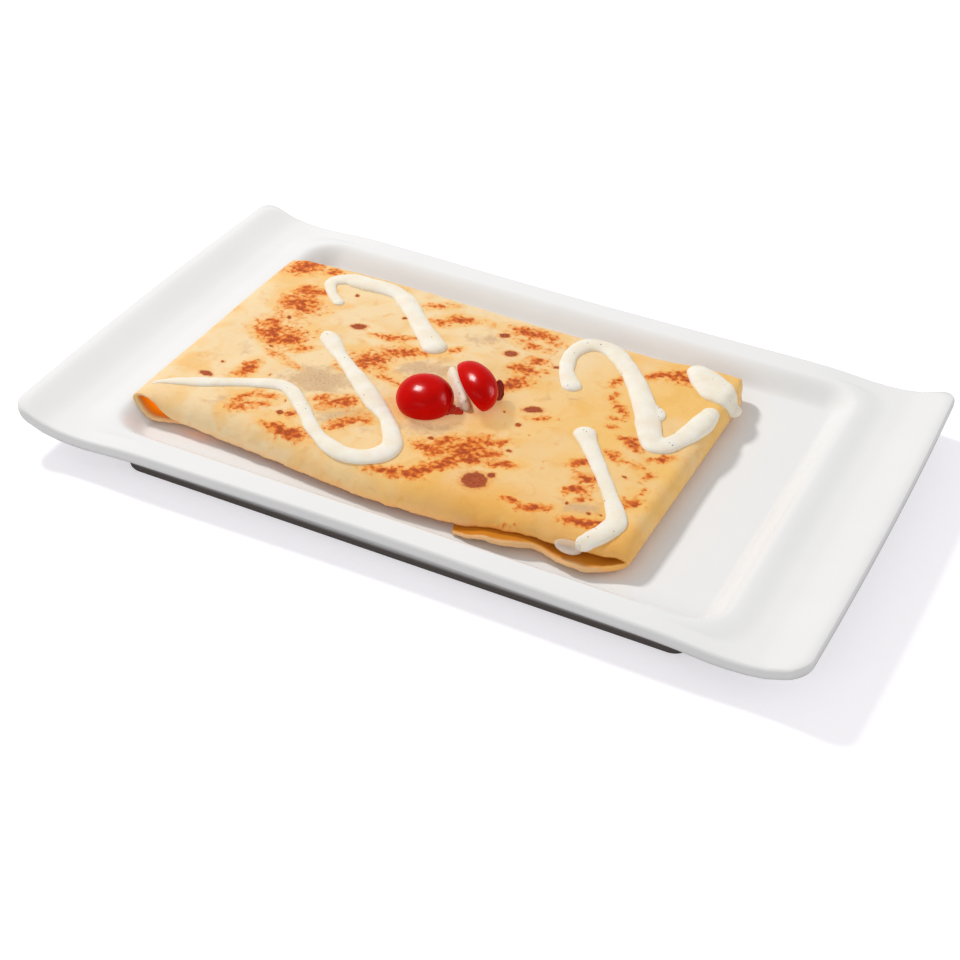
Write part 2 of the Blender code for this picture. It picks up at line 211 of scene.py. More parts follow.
# Platter: glazed white porcelain
platterLow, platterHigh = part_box("plate")
platter = {
    "length": (platterHigh.x - platterLow.x) / mm,
    "width": (platterHigh.y - platterLow.y) / mm,
    "corner": 7.0,
    "waist": 1.6,           # how much further in each long side is in the middle
    "crown": 1.5,           # how much further the ends reach in the middle
    "rim": 15.0,
    "tipLift": 5.0,         # how far the ends turn up
    "wingCurl": 21.0,       # over which length they do
    "curlLag": 2.0,
    "wingDip": 1.5,         # a shallow trough before them
    "dipPlace": 4.0,
    "dipSpread": 15.0,
    "dipSlope": 3.0,
    "wellLength": 242.0,
    "wellWidth": 160.0,
    "wellCorner": 15.0,
    "wellWall": 11.0,
    "wellFloor": 7.5,
    "footLength": 221.0,
    "footWidth": 163.0,
    "footCorner": 6.0,
    "footRim": 3.5,
    "footRecess": 2.2,
    "cornerSteps": 9,
    "sideSteps": 46,
    "endSteps": 26,
    "wellRings": 14,
    "rimRings": 22,
    "rimReach": 0.87,       # how far out the flat of the rim goes, as a share
    "rimSpread": 1.15,
    # the round edge as inset and sink, and the underside as steps out of the foot and height
    "edgeRings": [(0.8, 0.15), (0.5, 0.45), (0.2, 0.9), (0.0, 1.6), (0.0, 2.6), (0.0, 3.2),
                  (0.2, 3.9), (0.55, 4.5), (1.1, 4.95), (1.8, 5.2)],
    "underRings": [(34, 5.4, 10.0), (26, 4.4, 9.4), (16, 2.8, 8.4), (8, 1.6, 6.8), (3.5, 0.9, 5.0),
                   (0.8, 0.4, 3.4), (0.2, 0.1, 2.0), (0, 0, 0.8), (-0.3, -0.3, 0.2), (-0.8, -0.8, 0.0)],
    "glaze": [(0.86, 0.86, 0.865), (0.90, 0.90, 0.90)],
    # the foot ring is unglazed and rougher; its dark colours are painted shade that stands in for the shade
    # under the platter
    "clayAndShade": [(0.10, 0.085, 0.08), (0.15, 0.13, 0.12)],
    "clayAndShadeHeights": (2.6 * mm, 6.2 * mm),
}


def roundedOblong(halfLength, halfWidth, corner, rim=0.0):
    points = []
    middles = [Vector((sideX * (halfLength - corner), sideY * (halfWidth - corner)))
               for sideX, sideY in ((1, -1), (1, 1), (-1, 1), (-1, -1))]
    for index, middle in enumerate(middles):
        for step in range(platter["cornerSteps"] + 1):
            angle = math.radians(90 * (index - 1 + step / platter["cornerSteps"]))
            points.append(middle + corner * Vector((math.cos(angle), math.sin(angle))))
        leave = points[-1]
        arrive = middles[(index + 1) % 4] + leave - middle
        straight = platter["sideSteps"] if index % 2 else platter["endSteps"]
        points += [leave.lerp(arrive, step / straight) for step in range(1, straight)]
    for point in points:
        waist = platter["waist"] * (1.0 - ease(abs(point.x) / (platter["length"] * 0.4)))
        crown = platter["crown"] * (point.y / halfWidth) ** 2
        point.x *= 1.0 - rim * crown / halfLength
        point.y *= 1.0 - rim * waist / halfWidth
    return points


def wellHeight(x, y):
    innerX = abs(x) - (platter["wellLength"] / 2 - platter["wellCorner"])
    innerY = abs(y) - (platter["wellWidth"] / 2 - platter["wellCorner"])
    outside = math.hypot(max(innerX, 0.0), max(innerY, 0.0))
    depth = platter["wellCorner"] - outside - min(max(innerX, innerY), 0.0)
    share = min(1.0, max(0.0, depth / platter["wellWall"]))
    rise = 0.5 * (1.0 + math.cos(math.pi * share))
    return platter["wellFloor"] + (platter["rim"] - platter["wellFloor"]) * rise


def rimHeight(x, outward):
    trough = bump(abs(x), platter["wellLength"] / 2 + platter["dipPlace"], platter["dipSpread"])
    dip = platter["wingDip"] * trough * ease(outward * platter["dipSlope"])
    start = platter["length"] / 2 - platter["wingCurl"] + platter["curlLag"]
    curl = platter["tipLift"] * ease((abs(x) - start) / platter["wingCurl"])
    return platter["rim"] - dip + curl


def porcelainFinish():
    finish = Finish("whitePorcelain", 0.2, {"Specular IOR Level": 0.3})
    bareAndShaded = 1.0 - finish.smooth(finish.axis("Z"), *platter["clayAndShadeHeights"])    # the unglazed foot ring, rougher, and darkened with painted shade towards the bottom
    mottle = finish.noise(24, 2)
    grit = finish.noise(0.4, 2)
    glaze = finish.mix(mottle, *platter["glaze"])
    # painted shade: the glaze turns to the dark foot colours towards the bottom
    finish.set("Base Color", finish.mix(bareAndShaded, glaze, finish.mix(grit, *platter["clayAndShade"])))
    finish.set("Roughness", 0.16 + 0.08 * mottle + 0.5 * bareAndShaded)
    finish.relief(finish.noise(9, 2) + 0.02 * grit * bareAndShaded, 0.05)
    return finish


def makePlatter():
    halfLength, halfWidth = platter["length"] / 2, platter["width"] / 2
    wellX, wellY = platter["wellLength"] / 2, platter["wellWidth"] / 2
    wellRings, rimRings = platter["wellRings"], platter["rimRings"]
    rings = []
    for step in range(wellRings):
        inset = platter["wellWall"] * (1.0 - step / wellRings)
        outline = roundedOblong(wellX - inset, wellY - inset, platter["wellCorner"] - inset)
        rings.append([Vector((p.x, p.y, wellHeight(p.x, p.y))) for p in outline])
    for step in range(rimRings + 1):
        outward = platter["rimReach"] * (step / rimRings) ** platter["rimSpread"]
        corner = blend(platter["wellCorner"], platter["corner"], outward)
        outline = roundedOblong(blend(wellX, halfLength, outward), blend(wellY, halfWidth, outward),
                                corner, outward)
        rings.append([Vector((p.x, p.y, rimHeight(p.x, outward))) for p in outline])
    for inset, sink in platter["edgeRings"]:
        outline = roundedOblong(halfLength - inset, halfWidth - inset, platter["corner"] - inset, 1.0)
        rings.append([Vector((p.x, p.y, rimHeight(p.x, 1.0) - sink)) for p in outline])
    footX, footY = platter["footLength"] / 2, platter["footWidth"] / 2
    rim = platter["footRim"]
    recess = [(-rim - inset, -rim - inset, height)
              for inset, height in ((0, 0.0), (0.6, 0.9), (1.5, platter["footRecess"]))]
    for outX, outY, height in platter["underRings"] + recess:
        outline = roundedOblong(footX + outX, footY + outY, platter["footCorner"])
        rings.append([Vector((p.x, p.y, height)) for p in outline])
    bm = bmesh.new()
    skinRings(bm, rings)
    newPiece("platter", bm, [porcelainFinish()], ["plate"])
    print("platter made")


# Crepe: the folded packet
crepe = {
    "left": -119.5,
    "right": 80.5,
    "back": 58.5,
    "backFlare": 3.5,
    "front": -61.0,
    "belly": 6.0,
    "top": 19.3,
    "foldRadius": 5.0,
    "backRadius": 6.0,
    "frontRadius": 9.0,
    "lip": 0.8,
    "wall": 1.5,
    "flapStart": 16.8,
    "flapFront": -68.8,
    "restGap": 0.3,
    "wave": 0.35,
    "ripple": 0.25,
    "heap": 0.9,            # where the filling is thickest
    "sag": 0.8,             # of the top towards both ends
    # how far each corner is cut in
    "cuts": {"frontLeft": 1.5, "frontRight": 2.0, "backLeft": 3.5, "backRight": 11.0, "flapRight": 7.5},
    "columns": 200,
    "rows": 112,
    "backDegrees": (1, 6, 16, 28, 42, 58, 74),
    "frontDegrees": range(84, -1, -6),
    "pocketShares": (0.0, 0.1, 0.25, 0.45, 0.7, 1.0),
    "colours": {
        "pale": (0.92, 0.70, 0.41),
        "golden": (0.93, 0.56, 0.17),
        "cloud": (0.90, 0.50, 0.12),
        "veil": (0.90, 0.70, 0.44),
        "fringe": (0.84, 0.38, 0.06),
        "bakedFront": (0.84, 0.40, 0.075),
        # the next colour is painted shade: darker and deeper orange low on the packet's sides
        "shadedLowSide": (0.92, 0.46, 0.18),
        "thin": (0.65, 0.42, 0.24),
        "speck": (0.36, 0.22, 0.09),
        "nearPatch": (0.93, 0.54, 0.16),
        "patchHalo": (0.87, 0.30, 0.04),
        "brown": (0.68, 0.13, 0.016),
        "darkBrown": (0.40, 0.05, 0.014),
        "spotHalo": (0.84, 0.34, 0.06),
        "spot": (0.30, 0.04, 0.012),
        "spotGrain": (0.46, 0.09, 0.03),
        "flapRim": (0.78, 0.49, 0.25),
        # the pocket insides: painted shade, darker and deeper orange than the outer skin
        "inside": (0.60, 0.21, 0.015),
        # unlit and daylight are the ends of the painted glow in the pocket
        "unlit": (0.0, 0.0, 0.0),
        "daylight": (1.0, 0.28, 0.0),
    },
}

# browned patches as x, y, half length, half width, turn in degrees and strength
lacyPatches = [
    (-110, 50, 6.2, 4.6, 47, 0.95), (-97, 51, 2.7, 2.0, 8, 0.85), (-98, 33, 6.1, 2.4, 32, 0.8),
    (-96, 22, 6.6, 4.8, 5, 1), (-101, 34, 2.0, 2.1, 8, 0.75), (-99, 6, 2.8, 2.7, 29, 0.85),
    (-97, -3, 3.8, 2.2, -13, 0.95), (-95, 1, 2.2, 2.4, 29, 0.85), (-91, -7, 3.3, 2.1, -2, 0.9),
    (-85, -3, 3.7, 3.1, 4, 0.95), (-79, -7, 4.6, 1.5, 35, 0.65), (-82, -16, 6.4, 1.4, -19, 0.6),
    (-90, -28, 4.9, 2.3, 87, 1), (-81, -44, 5.3, 1.5, 67, 0.8), (-73, -40, 4.1, 1.3, 19, 0.7),
    (-74, -46, 5.0, 1.2, 29, 0.7), (-79, -52, 4.2, 1.8, 16, 0.75), (-60, -46, 2.4, 1.4, 48, 0.85),
    (-61, -53, 1.9, 1.0, 36, 0.6), (-60, -56, 4.6, 1.4, -3, 0.85), (-53, -56, 4.8, 2.9, 11, 1),
    (-52, -1, 7.3, 4.2, 51, 0.95), (-56, -32, 2.6, 1.3, 40, 0.75), (-47, -31, 7.2, 2.7, 37, 0.85),
    (-40, -41, 6.6, 2.1, 56, 0.9), (-33, -37, 2.3, 1.6, 29, 0.7), (-34, 43, 5.5, 2.3, 24, 0.85),
    (-48, 47, 4.8, 1.6, 29, 0.65), (-41, 36, 3.7, 2.0, 12, 0.65), (-54, 18, 4.9, 1.8, 14, 0.6),
    (-47, 21, 4.1, 1.1, 33, 0.6), (-43, 12, 6.9, 2.4, 21, 0.85), (-27, 22, 2.5, 1.2, 48, 0.75),
    (-39, -9, 5.1, 1.3, -11, 0.6), (-7, -41, 4.2, 2.4, -22, 0.85), (-3, -34, 3.8, 1.4, 74, 0.85),
    (5, -36, 6.7, 3.3, 21, 1), (5, -28, 4.3, 1.7, 41, 0.85), (13, -26, 5.1, 1.4, 34, 0.95),
    (5, -44, 8.4, 2.2, 52, 1), (-2, -54, 5.0, 1.9, 44, 0.95), (11, -40, 2.2, 2.0, 29, 0.85),
    (22, -36, 4.6, 1.7, 23, 0.95), (17, -33, 2.3, 1.6, 23, 0.6), (-12, -59, 6.5, 1.8, 10, 0.95),
    (-6, 48, 8.0, 2.7, 6, 0.95), (-2, 39, 5.2, 2.1, 2, 0.85), (6, 46, 1.9, 1.1, 46, 0.7),
    (4, 32, 2.4, 1.3, 16, 0.7), (5, 22, 5.4, 1.8, 24, 0.85), (3, 12, 5.1, 3.1, 47, 0.85),
    (22, -5, 3.7, 1.5, 25, 0.65), (37, 33, 3.1, 1.6, 65, 0.85), (44, 17, 4.4, 1.4, -42, 0.95),
    (46, 9, 2.5, 1.2, 18, 0.7), (54, -1, 3.2, 1.5, 17, 0.7), (58, -4, 3.8, 1.1, -36, 0.7),
    (54, -14, 3.6, 0.9, -39, 0.6), (70, -6, 3.8, 1.5, 39, 0.85), (46, -22, 3.5, 2.1, 41, 0.85),
    (51, -37, 3.8, 1.9, 36, 0.9), (49, 44, 5.9, 1.4, 38, 0.9), (57, 46, 4.3, 3.1, 1, 1),
    (71, -36, 2.8, 2.3, 29, 0.95), (58, -54, 4.3, 1.5, 6, 1), (64, -52, 3.6, 2.0, 37, 0.95),
    (33, -54, 3.1, 1.3, -1, 0.9), (42, -54, 4.8, 1.6, 29, 0.95), (38, -65, 3.8, 1.8, -24, 0.45),
    (54, -42, 2.9, 1.6, 24, 0.7), (52, -30, 3.6, 2.2, 11, 0.95), (39, 23, 2.4, 1.3, 60, 0.75),
    (47, 4, 2.2, 1.3, 10, 0.75), (58, -3, 3.0, 2.0, -30, 0.85), (54, -12, 2.4, 1.8, 0, 0.75),
    (60, -14, 3.5, 1.0, 10, 0.6), (65, -15, 2.6, 1.2, 0, 0.55), (70, -18, 2.6, 1.4, 60, 0.6),
    (72, -28, 2.4, 1.2, 80, 0.6), (0, 23, 3.0, 1.8, 20, 0.8), (4, 29, 3.4, 1.6, 20, 0.85),
    (2, 9, 3.4, 2.0, 40, 0.8), (12, 46, 2.4, 1.2, 20, 0.6), (-92, 3, 9.0, 5.5, 10, 0.45),
]
roundSpots = [
    (-102, -38, 3.5, 1.8, -2, 1), (-101, -28, 0.9, 1.2, -25, 0.8), (-68, 19, 3.8, 2.3, 25, 1),
    (-80, 39, 1.1, 1.4, -15, 0.9), (-64, -47, 1.5, 1.8, 29, 0.9), (-66, -40, 0.6, 1.2, 29, 0.7),
    (-83, 5, 1.0, 1.0, 5, 0.7), (-95, 11, 1.1, 1.9, 29, 0.8), (-55, 33, 1.9, 1.1, 29, 0.8),
    (-15, 41, 2.8, 1.9, 29, 0.95), (-7, 30, 3.1, 2.5, 29, 1), (-8, -35, 1.6, 1.6, 29, 0.75),
    (17, -50, 5.6, 5.4, 34, 1), (21, -44, 1.7, 2.0, -1, 0.8), (8, -7, 0.8, 1.2, 29, 0.7),
    (16, -12, 1.4, 1.5, 29, 0.85), (20, -28, 1.6, 1.2, 10, 0.8), (17, -1, 4.5, 2.3, 23, 0.95),
    (12, 30, 2.0, 1.2, 42, 0.8), (22, -16, 0.5, 0.7, 29, 0.6), (63, -23, 2.0, 0.7, -14, 0.85),
    (69, -23, 1.9, 0.6, 2, 0.85), (60, -48, 1.2, 1.2, 29, 0.85), (64, -47, 1.4, 1.0, 29, 0.7),
    (51, -46, 1.0, 1.1, 29, 0.8), (-91, -10, 2.2, 0.6, -18, 0.8), (-89, -21, 2.1, 0.6, -15, 0.7),
    (-80, -27, 2.3, 0.6, 75, 0.6), (34, -28, 1.5, 0.4, 85, 0.6), (35, -32, 0.9, 0.6, 22, 0.6),
]
# thin places where the greyer filling shows through
thinPatches = [
    (-62, -22, 15, 9, 20, 0.9), (-42, -38, 10, 8, 20, 0.9), (-34, 4, 8, 5, 25, 0.8),
    (-22, 8, 7, 5, 25, 0.8), (-20, 34, 9, 5, 30, 0.6), (-12, -30, 14, 5, 20, 0.6),
    (-82, -50, 12, 4, 25, 0.5), (56, -46, 7, 4, 20, 0.8), (-100, -14, 8, 12, 20, 0.3),
    (25, 12, 12, 8, 20, 0.25),
]


# The packet's curves: x and y are millimetres, and the bare numbers in them are places and spreads
def crepeTop(x, y):
    waves = crepe["wave"] * math.sin(x / 26 + 0.8) * math.cos(y / 21)
    waves += crepe["ripple"] * math.sin((x + 1.7 * y) / 17)
    heap = crepe["heap"] * bump(x, -62, 30) * bump(y, -12, 26)
    sag = crepe["sag"] * ease((abs(x + 18) - 70) / 40)
    return crepe["top"] + waves + heap - sag


def frontEdge(x):
    cuts = crepe["cuts"]
    corners = cuts["frontLeft"] * ease((-100 - x) / 18) + cuts["frontRight"] * ease((x - 70) / 11)
    return crepe["front"] - crepe["belly"] * bump(x, -12, 50) + corners


def backEdge(x):
    cuts = crepe["cuts"]
    corners = cuts["backRight"] * ease((x - 76.5) / 4) + cuts["backLeft"] * ease((-113 - x) / 6)
    return crepe["back"] + crepe["backFlare"] * ease((x - 40) / 30) - corners


def lowerEdge(x):
    out = ease((x - crepe["flapStart"] + 1.5) / 3)
    tucked = frontEdge(x) + 3.0 * ease((x + 108) / 14) - 2.5 * ease((-102 - x) / 12)
    wave = 3.2 * bump(x, 48, 7) + 1.6 * bump(x, 58, 9) + 0.5 * noise.noise(Vector((x / 3.5, 4.0, 0.0)))
    flap = crepe["flapFront"] + wave + crepe["cuts"]["flapRight"] * ease((x - 64) / 17.5)
    return tucked + (flap - tucked) * out


def gapShares(x):
    # lowest and highest share of the height at which the front is open, and how deep it goes
    left = ease((-95 - x) / 14)
    right = ease((x - crepe["flapStart"]) / 46) * (1.0 - ease((x - 72) / 9))
    turnedUp = ease((x - 70) / 11)
    flap = ease((x - crepe["flapStart"]) / 16)
    low = 0.12 + 0.13 * ease((-88 - x) / 14) + 0.21 * flap
    low += 0.08 * bump(x, 43, 8) - 0.08 * bump(x, 56, 6) + 0.14 * turnedUp
    high = 0.18 + 0.10 * ease((-80 - x) / 20) + 0.50 * ease((-101 - x) / 13)
    high += 0.30 * right + 0.32 * turnedUp
    return low, max(high, low + 0.05), 2.0 + 14 * left + 10 * right


def lipWave(x, side, angle):
    # the torn, wavy margin of a layer, strongest at its very edge
    near = math.cos(angle) ** 2
    level = 5.0 * side
    coarse = noise.noise(Vector((x / 5.5, level, 2.0)))
    fine = noise.noise(Vector((x / 1.7, level, 9.0)))
    lift = noise.noise(Vector((x / 6.5, level, 5.0)))
    return near * (0.5 * coarse + 0.22 * fine), near * (0.55 * lift + 0.15 * fine)


def topRelief(x, y):
    # soft dimples and wrinkles of the thin skin over its filling
    dimples = 0.16 * noise.noise(Vector((x / 9, y / 9, 3.0)))
    pits = 0.06 * noise.noise(Vector((x / 3.5, y / 3.5, 8.0)))
    wrinkles = 0.10 * noise.noise(Vector(((x + y) / 5, (x - y) / 24, 1.0)))
    return dimples + pits + wrinkles


def sideHeights(x, y):
    bottom = wellHeight(x, y) + crepe["restGap"]
    return bottom, crepeTop(x, y) + topRelief(x, y)


def topCurl(x, y):
    # height of the upper side with its round back, ends and front
    bottom, top = sideHeights(x, y)
    margins = [(x - crepe["left"], crepe["foldRadius"]), (crepe["right"] - x, crepe["foldRadius"]),
               (backEdge(x) - y, crepe["backRadius"]), (y - frontEdge(x), crepe["frontRadius"])]
    fall = 1.0
    for inside, radius in margins:
        share = min(1.0, max(0.0, inside / radius))
        fall *= math.sqrt(1.0 - (1.0 - share) ** 2)
    return 0.5 * (top + bottom) + 0.5 * (top - bottom) * fall


def crepeRing(profile, wall=0.0):
    middleX = (crepe["left"] + crepe["right"]) / 2
    scale = 1.0 - wall / (crepe["right"] - middleX)
    turns = [math.radians(angle) for angle in range(12, 90, 13)]
    fold = [(1.0 - math.cos(turn), math.sin(turn)) for turn in turns]
    radius = crepe["foldRadius"]
    row = [(crepe["right"] - radius * back, apart) for back, apart in fold]
    innerRight, innerLeft = crepe["right"] - radius, crepe["left"] + radius
    for index in range(crepe["columns"] + 1):
        row.append((innerRight + (innerLeft - innerRight) * index / crepe["columns"], 1.0))
    row += [(crepe["left"] + radius * back, apart) for back, apart in reversed(fold)]
    loop = [(crepe["right"], 0.0, 1)] + [(x, apart, 1) for x, apart in row]
    loop += [(crepe["left"], 0.0, -1)] + [(x, apart, -1) for x, apart in reversed(row)]
    ring = []
    for place, apart, side in loop:
        x = middleX + (place - middleX) * scale
        here, there = Vector(profile(x, side)), Vector(profile(x, -side))
        middle = (here + there) / 2
        y, z = middle + (here - middle) * apart
        ring.append(Vector((x, y, z)))
    return ring


def backProfile(degrees):
    def profile(x, side):
        angle = math.radians(degrees)
        y = backEdge(x) - crepe["backRadius"] * (1.0 - math.cos(angle))
        bottom, top = sideHeights(x, y)
        return y, (top + bottom) / 2 + side * (top - bottom) / 2 * math.sin(angle)
    return profile


def bodyProfile(share):
    def profile(x, side):
        start = backEdge(x) - crepe["backRadius"]
        y = start + (frontEdge(x) + crepe["frontRadius"] - start) * share
        bottom, top = sideHeights(x, y)
        return y, top if side > 0 else bottom
    return profile


def frontProfile(degrees):
    def profile(x, side):
        angle = math.radians(degrees)
        low, high = gapShares(x)[:2]
        edge = frontEdge(x) if side > 0 else lowerEdge(x)
        out, up = lipWave(x, side, angle)
        y = edge + crepe["frontRadius"] * (1.0 - math.cos(angle)) + out
        bottom, top = sideHeights(x, y)
        if side > 0:
            lip = bottom + (top - bottom) * high + crepe["lip"]
            return y, lip + (top - lip) * math.sin(angle) + up
        lip = bottom + (top - bottom) * low - crepe["lip"]
        return y, lip + (bottom - lip) * math.sin(angle) + up * min(1.0, low * 4 - 0.4)
    return profile


def gapProfile(share):
    def profile(x, side):
        low, high, depth = gapShares(x)
        edge = frontEdge(x) if side > 0 else lowerEdge(x)
        inner = max(frontEdge(x), lowerEdge(x)) + depth
        out, up = lipWave(x, side, 0.0)
        fade = (1.0 - share) ** 2
        y = edge + 0.5 + (inner - edge - 0.5) * share + out * fade
        bottom, top = sideHeights(x, y)
        height = (low + high) / 2 + side * (high - low) / 2 * (1.0 - 0.6 * share ** 2)
        up *= 1.0 if side > 0 else min(1.0, low * 4 - 0.4)
        return y, bottom + (top - bottom) * height + up * fade
    return profile


def patchHeat(places, patches, focus):
    # how strongly the patches cover each place, from 0 to 1
    clear = np.ones(len(places))
    for x, y, halfLength, halfWidth, turn, strength in patches:
        along = np.array([math.cos(math.radians(turn)), math.sin(math.radians(turn))])
        offset = places[:, :2] - np.array([x, y])
        u = offset @ along / halfLength
        v = (offset[:, 1] * along[0] - offset[:, 0] * along[1]) / halfWidth
        clear *= 1.0 - 0.98 * strength * np.exp(-focus * (u * u + v * v))
    return 1.0 - clear


def crepeFinish():
    settings = softBody(0.15, (1.0, 0.4, 0.15), 0.22)
    # the emission strength sets the painted glow in the pocket
    finish = Finish("crepeSkin", 0.45, {**settings, "Emission Strength": 0.62})
    colour = crepe["colours"]
    place = finish.place()
    across, along, height = [finish.axis(name, place) for name in "XYZ"]      # in metres
    lace = finish.noise(1.8, 1, place, 0.25)       # grains that brown first
    fringe = finish.noise(5.0, 2, place, 0.6)
    crumb = finish.noise(0.7, 1, place)
    cloud = finish.noise(17, 2.5, place, 0.7)
    veil = finish.noise(38, 2, place)
    golden = finish.smooth(across - 0.5 * along, -0.04, 0.065)
    baked = finish.smooth(along, -0.038, -0.060) * finish.smooth(across, -0.02, 0.03)
    thin = finish.attribute("thin") + 0.9 * (fringe - 0.5) + 0.4 * (lace - 0.5)
    specks = finish.smooth(finish.attribute("thin") + 3.4 * (crumb - 0.62), 0.55, 0.95)
    heat = finish.attribute("lacy")
    near = finish.smooth(heat, 0.02, 0.14)
    halo = near * finish.smooth(heat + 1.3 * (fringe - 0.5) + 0.9 * (lace - 0.5), 0.10, 0.56)
    brown = near * finish.smooth(heat + 1.8 * (lace - 0.5) + 0.9 * (fringe - 0.5), 0.44, 0.74)
    deep = finish.smooth(heat + 1.8 * (lace - 0.5) + 0.7 * (fringe - 0.5), 0.72, 1.05)
    dot = finish.attribute("round") + 0.4 * (lace - 0.5) + 0.2 * (crumb - 0.5)
    core = finish.mix(finish.smooth(crumb, 0.3, 0.7), colour["spot"], colour["spotGrain"])
    rim = finish.smooth(along, -0.0635, -0.066) * finish.smooth(across, 0.014, 0.020)
    inside = finish.attribute("inside")
    tints = [
        (0.6 * finish.smooth(cloud, 0.42, 0.66), colour["cloud"]),
        (0.45 * finish.smooth(veil, 0.50, 0.68), colour["veil"]),
        (0.25 * finish.smooth(fringe, 0.54, 0.72), colour["fringe"]),
        (0.55 * baked, colour["bakedFront"]),
        # painted shade: darker, deeper orange low on the sides
        (0.7 * finish.smooth(height, 0.0135, 0.0090), colour["shadedLowSide"]),
        (0.75 * finish.smooth(thin, 0.15, 0.7), colour["thin"]),
        (0.35 * specks, colour["speck"]),
        (0.5 * near, colour["nearPatch"]),
        (0.8 * halo, colour["patchHalo"]),
        (0.9 * brown, finish.mix(deep, colour["brown"], colour["darkBrown"])),
        (0.6 * finish.smooth(dot, 0.08, 0.32), colour["spotHalo"]),
        (0.95 * finish.smooth(dot, 0.30, 0.48), core),
        (0.8 * rim, colour["flapRim"]),
        # painted shade, stronger deeper into the pocket
        (finish.smooth(inside, 0.08, 0.5), colour["inside"]),
    ]
    base = finish.mix(golden, colour["pale"], colour["golden"])
    for share, tint in tints:
        base = finish.mix(share, base, tint)
    finish.set("Base Color", base)
    # painted glow: the left pocket glows orange, deeper in more strongly
    lit = finish.smooth(inside, 0.25, 0.8) * (1.0 - 0.95 * finish.smooth(across, -0.10, -0.08))
    glow = finish.mix(lit, colour["unlit"], colour["daylight"])
    finish.set("Emission Color", glow)      # painted glow: emission that stands in for daylight coming through the thin sheet
    finish.set("Roughness", 0.42 + 0.14 * crumb + 0.08 * brown)
    finish.relief(0.4 * crumb + 0.7 * lace - 0.4 * brown + 1.6 * fringe, 0.14)
    return finish


def makeCrepe():
    rows, shares = crepe["rows"], crepe["pocketShares"]
    rings = [crepeRing(backProfile(degrees)) for degrees in crepe["backDegrees"]]
    rings += [crepeRing(bodyProfile(row / rows)) for row in range(rows + 1)]
    rings += [crepeRing(frontProfile(degrees)) for degrees in crepe["frontDegrees"]]
    inward = [0.0] * len(rings) + [0.1 + 0.9 * share ** 0.5 for share in shares]
    rings += [crepeRing(gapProfile(share), crepe["wall"]) for share in shares]
    bm = bmesh.new()
    skinRings(bm, rings, "inside", inward)
    places = np.array([vert.co for vert in bm.verts])
    # each attribute, its patches and how sharply they end
    layers = (("lacy", lacyPatches, 0.55), ("round", roundSpots, 1.3), ("thin", thinPatches, 0.9))
    for name, patches, focus in layers:
        layer = bm.verts.layers.float.new(name)
        bm.verts.ensure_lookup_table()
        for vert, value in zip(bm.verts, patchHeat(places, patches, focus)):
            vert[layer] = value
    newPiece("crepeSkin", bm, [crepeFinish()], ["crepe"])
    print("crepe made")


# Drizzle of white sauce: x, y and half width along each stroke
sauce = {
    "height": 0.44,         # of a bead, over its half width
    "heightLimit": 2.4,
    "knotHeight": 4.6,
    "widthWave": 0.12,
    "ends": [(0.97, 0.25), (0.85, 0.53), (0.6, 0.8), (0.3, 0.95)],      # ahead, size
    "endReach": 0.9,
    "step": 1.2,
    "sides": 18,
    "voxel": 0.5,
    "smoothing": 6,
    "colours": [(0.90, 0.81, 0.66), (0.94, 0.89, 0.79)],
    "strokes": {
        "hook": [(-84, 31, 2.7), (-90, 36, 2.4), (-94, 43, 3.2), (-89, 48, 4), (-80, 48, 4.6),
                 (-68, 48, 4), (-59, 43, 4.2), (-45, 29, 4.2), (-39.5, 24.2, 4.6), (-35, 19.8, 5)],
        "loop": [(-116.4, -52.4, 0.9), (-113, -50, 1.7), (-107, -47.3, 2.6), (-98, -43.5, 3), (-84, -36, 3),
                 (-71, -32, 3.4), (-59, -40, 3.1), (-46, -52, 3.1), (-32, -58, 4), (-21, -55, 4.4),
                 (-18, -46, 4.2), (-26, -34, 3), (-31, -29.5, 3.6)],
        "arm": [(-33, -28, 3.8), (-37, -25, 4.3), (-48, -16, 4), (-63, -4, 3.1), (-73, 5, 4.4),
                (-75, 7, 3.2)],
        "knot": [(-20, 5.2, 1.9), (-15.4, -0.2, 2.1), (-10.2, -6.4, 2.1), (-6, -11.6, 1.9)],
        "ribbon": [(22.8, 20.6, 4.1), (16.5, 30, 3.3), (13.5, 42, 3.4), (17, 51, 4.2), (26, 51.5, 4.3),
                   (39, 40, 4.1), (50, 25, 4.7), (58, 11, 5.2), (62.5, 2.5, 4.6), (64.3, -0.6, 3.9)],
        "fold": [(56.5, 22.6, 2.2), (58.9, 20.2, 2.6), (59.7, 17.6, 2.3)],
        "tail": [(64.3, -0.6, 3.9), (68, 1.8, 4.2), (72, 10.5, 4.4), (74.6, 21, 4.7), (75.4, 30, 3.9)],
        "drop": [(40, -6, 4.5), (47, -15, 3.5), (58, -29, 2.9), (66, -40, 3.3), (70.3, -48, 4.2),
                 (68.8, -55, 4.0), (65, -59.2, 3.4), (63.4, -60.4, 2.9)],
        "corner": [(61.4, 53, 4.6), (66, 49.6, 6.6), (72.5, 44.6, 7.4), (77.8, 42.0, 6.0),
                   (79.9, 41.5, 4.2)],
    },
}


def sauceFinish():
    finish = Finish("whiteSauce", 0.4, softBody(0.3, (1.0, 0.75, 0.45), 0.14))
    cloud = finish.smooth(finish.noise(7, 3), 0.3, 0.7)
    curd = finish.noise(0.8, 2)
    finish.set("Base Color", finish.mix(cloud, *sauce["colours"]))
    finish.set("Roughness", 0.30 + 0.2 * curd)
    finish.relief(finish.noise(3, 2) + 0.4 * curd, 0.10)
    return finish


